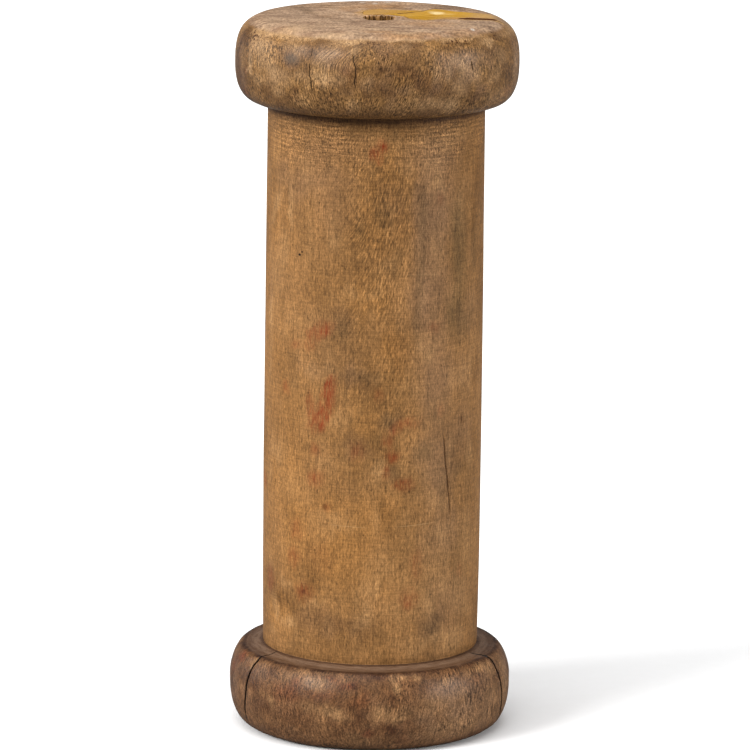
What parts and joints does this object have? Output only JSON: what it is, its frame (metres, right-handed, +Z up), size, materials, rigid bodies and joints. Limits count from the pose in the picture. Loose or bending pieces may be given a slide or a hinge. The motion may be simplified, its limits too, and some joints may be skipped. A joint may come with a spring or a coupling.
{
  "type": "wooden spool",
  "caption": "Empty turned wooden spool: a bored cylindrical barrel between thick round-edged heads, with a spindle hole right through.",
  "frame": {"origin": "centre of the foot head's flat base, on the spindle hole's axis", "axes": "+Z up the spindle hole from the foot head to the top head; +X towards the side of the top head where the filled split reaches the rim"},
  "size_m": [0.0984, 0.0984, 0.2512],
  "materials": {
    "barrel_wood": "old dry wood worn smooth by thread, slight sheen",
    "head_wood": "old handled wood with a dull polish on the rounded edges",
    "filler": "hardened yellow filler, glossy"
  },
  "bodies": {
    "root": {"barrel": "barrel_wood", "bottom_head": "head_wood", "top_head": "head_wood", "split_filler": "filler"}
  },
  "joints": []
}
